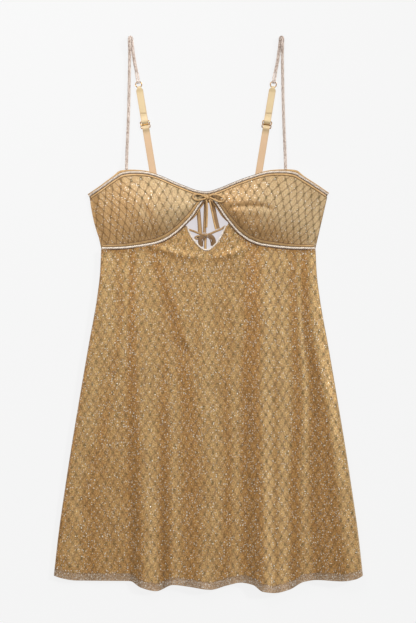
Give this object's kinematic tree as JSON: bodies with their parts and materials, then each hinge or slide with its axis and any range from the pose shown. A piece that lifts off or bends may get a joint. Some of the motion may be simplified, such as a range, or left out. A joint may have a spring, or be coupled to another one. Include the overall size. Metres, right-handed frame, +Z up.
{
  "type": "slip dress",
  "caption": "Sleeveless slip dress of patterned net over satin, laid flat front up, with domed cups, keyhole, tied bows, low back and adjustable ribbon and cord straps.",
  "frame": {"origin": "on the surface the dress lies on, under the middle of its outline", "axes": "+X to the viewer's right across the dress, +Y from the hem to the folded tops of the straps, +Z up from the surface through the back and then the front"},
  "size_m": [0.5062, 0.9127, 0.0209],
  "materials": {
    "net": "fine see-through net with a diamond lattice over gold satin",
    "satin": "soft gold satin",
    "piping": "twisted silver metallic cord",
    "cord": "rose-brown cord covered in small pale beads",
    "ribbon": "peach-gold satin ribbon",
    "gold": "polished gold-coloured metal"
  },
  "bodies": {
    "root": {"skirt_front": "net", "skirt_back": "net", "lining_front": "satin", "lining_back": "satin", "cup_left": "net", "cup_right": "net", "back_bodice": "net", "binding_left": "satin", "binding_right": "satin", "facing_left": "satin", "facing_right": "satin", "facing_key_left": "satin", "facing_key_right": "satin", "piping_bust_left": "piping", "piping_bust_right": "piping", "piping_neck_left": "piping", "piping_neck_right": "piping", "piping_keyhole": "piping", "strap_front_left": "cord", "strap_front_right": "cord", "strap_back_left": "cord", "strap_back_right": "cord", "strap_loop_left": "cord", "strap_loop_right": "cord", "ring_left": "gold", "ring_right": "gold", "ribbon_left": "ribbon", "ribbon_right": "ribbon", "slider_left": "gold", "slider_right": "gold", "tie_knot_upper": "satin", "tie_knot_lower": "satin", "tie_loop_left": "satin", "tie_loop_right": "satin", "tie_loop_lower": "satin", "tie_end_left": "satin", "tie_end_right": "satin", "tie_arm_left": "satin", "tie_arm_right": "satin", "strand_left": "satin", "strand_centre": "satin", "strand_right": "satin", "tie_drape_left": "satin", "tie_drape_right": "satin", "tie_tail": "satin"}
  },
  "joints": []
}
